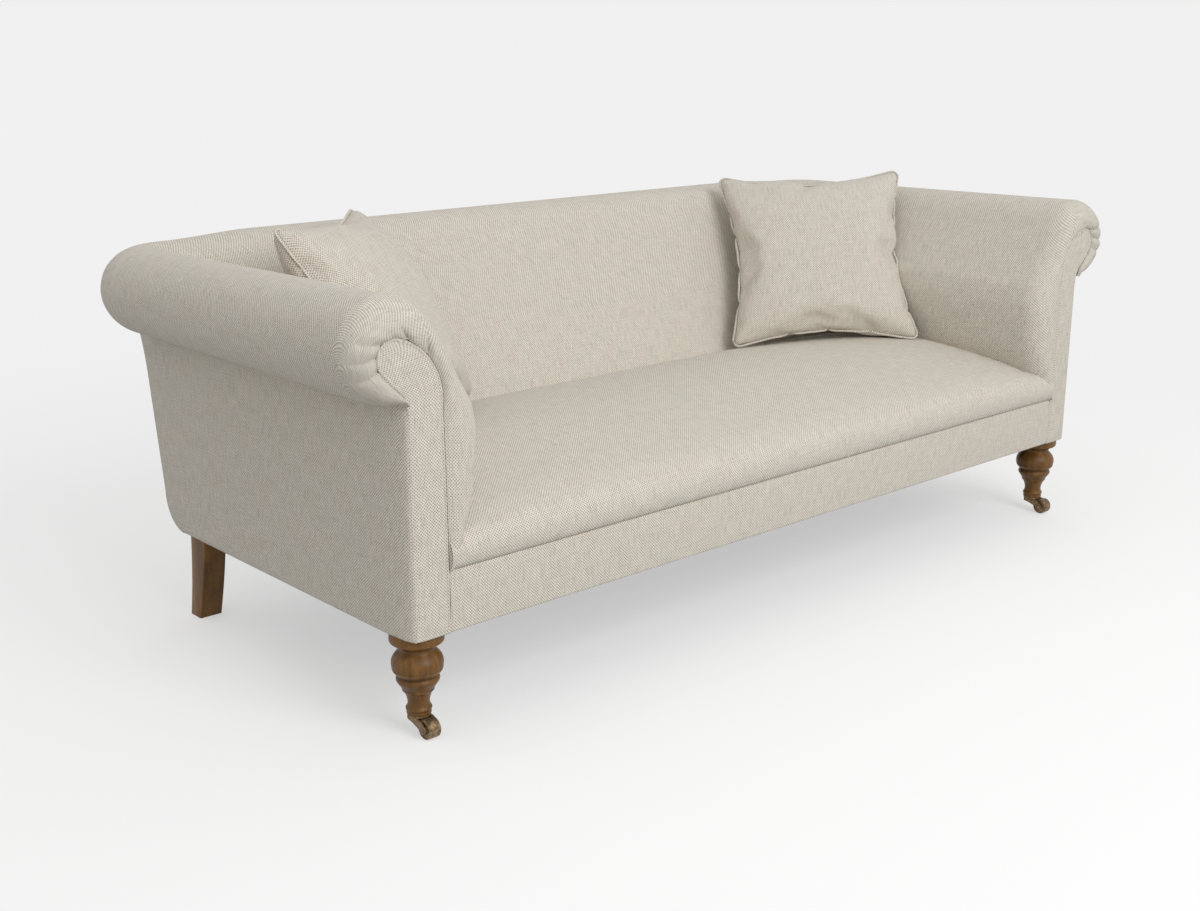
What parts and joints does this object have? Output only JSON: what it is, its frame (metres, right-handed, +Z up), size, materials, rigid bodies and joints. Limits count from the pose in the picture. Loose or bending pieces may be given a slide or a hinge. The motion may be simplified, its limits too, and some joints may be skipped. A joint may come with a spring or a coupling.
{
  "type": "english roll arm sofa",
  "caption": "Upholstered sofa with outward-rolled arms and a low rolled back, a sprung bench seat, turned front legs on castors, sabre rear legs and loose piped cushions in the corners.",
  "frame": {"origin": "middle of the footprint, on the floor", "axes": "+X towards the arm on the right of someone who looks at the front, +Y towards the back, +Z up"},
  "size_m": [2.1, 0.961, 0.787],
  "materials": {
    "linen": "basket-weave oatmeal linen with a matt nap",
    "beech": "planed beech, not finished",
    "turned_wood": "mid-brown stained hardwood, satin wax",
    "sabre_wood": "dark-brown stained hardwood, satin wax",
    "antique_brass": "aged brown brass",
    "bolt_steel": "plain steel",
    "jute": "woven jute",
    "black_cloth": "thin black cloth"
  },
  "bodies": {
    "sofa": {"arm_facing_left": "linen", "arm_facing_right": "linen", "arm_pad_left": "linen", "arm_pad_right": "linen", "arm_tack_rail_left": "beech", "arm_tack_rail_right": "beech", "arm_top_rail_left": "beech", "arm_top_rail_right": "beech", "back_hessian": "jute", "back_pad": "linen", "back_post_left": "beech", "back_post_right": "beech", "back_tack_rail": "beech", "back_top_rail": "beech", "back_upright_left": "beech", "back_upright_right": "beech", "base_cloth": "black_cloth", "castor_plate_left": "antique_brass", "castor_plate_right": "antique_brass", "front_border": "linen", "front_leg_block_left": "beech", "front_leg_block_right": "beech", "front_leg_left": "turned_wood", "front_leg_right": "turned_wood", "front_rail": "beech", "leg_bolts": "bolt_steel", "outside_arm_left": "linen", "outside_arm_right": "linen", "outside_back": "linen", "rear_leg_block_left": "beech", "rear_leg_block_right": "beech", "rear_leg_left": "sabre_wood", "rear_leg_right": "sabre_wood", "rear_rail": "beech", "scroll_board_left": "beech", "scroll_board_right": "beech", "seat_pad": "linen", "seat_webbing_cross": "jute", "seat_webbing_long": "jute", "side_rail_left": "beech", "side_rail_right": "beech"},
    "castor_swivel_left": {"castor_horn_left": "antique_brass", "castor_axle_left": "antique_brass"},
    "castor_roller_left": {"castor_wheel_left": "antique_brass"},
    "loose_cushion_left": {"cushion_left": "linen", "cushion_piping_left": "linen"},
    "castor_swivel_right": {"castor_horn_right": "antique_brass", "castor_axle_right": "antique_brass"},
    "castor_roller_right": {"castor_wheel_right": "antique_brass"},
    "loose_cushion_right": {"cushion_right": "linen", "cushion_piping_right": "linen"}
  },
  "joints": [
    {"name": "castor_swivel_left_turn", "type": "hinge", "parent": "sofa", "child": "castor_swivel_left", "pos_m": [-0.91, -0.423, 0.0265], "axis": [0, 0, 1], "continuous": true},
    {"name": "castor_wheel_left_roll", "type": "hinge", "parent": "castor_swivel_left", "child": "castor_roller_left", "pos_m": [-0.91, -0.452, 0.017], "axis": [1, 0, 0], "continuous": true},
    {"name": "cushion_left_lift", "type": "slide", "parent": "sofa", "child": "loose_cushion_left", "axis": [0, 0, 1], "range_m": [0, 0.3]},
    {"name": "castor_swivel_right_turn", "type": "hinge", "parent": "sofa", "child": "castor_swivel_right", "pos_m": [0.91, -0.423, 0.0265], "axis": [0, 0, 1], "continuous": true},
    {"name": "castor_wheel_right_roll", "type": "hinge", "parent": "castor_swivel_right", "child": "castor_roller_right", "pos_m": [0.91, -0.452, 0.017], "axis": [1, 0, 0], "continuous": true},
    {"name": "cushion_right_lift", "type": "slide", "parent": "sofa", "child": "loose_cushion_right", "axis": [0, 0, 1], "range_m": [0, 0.3]}
  ]
}
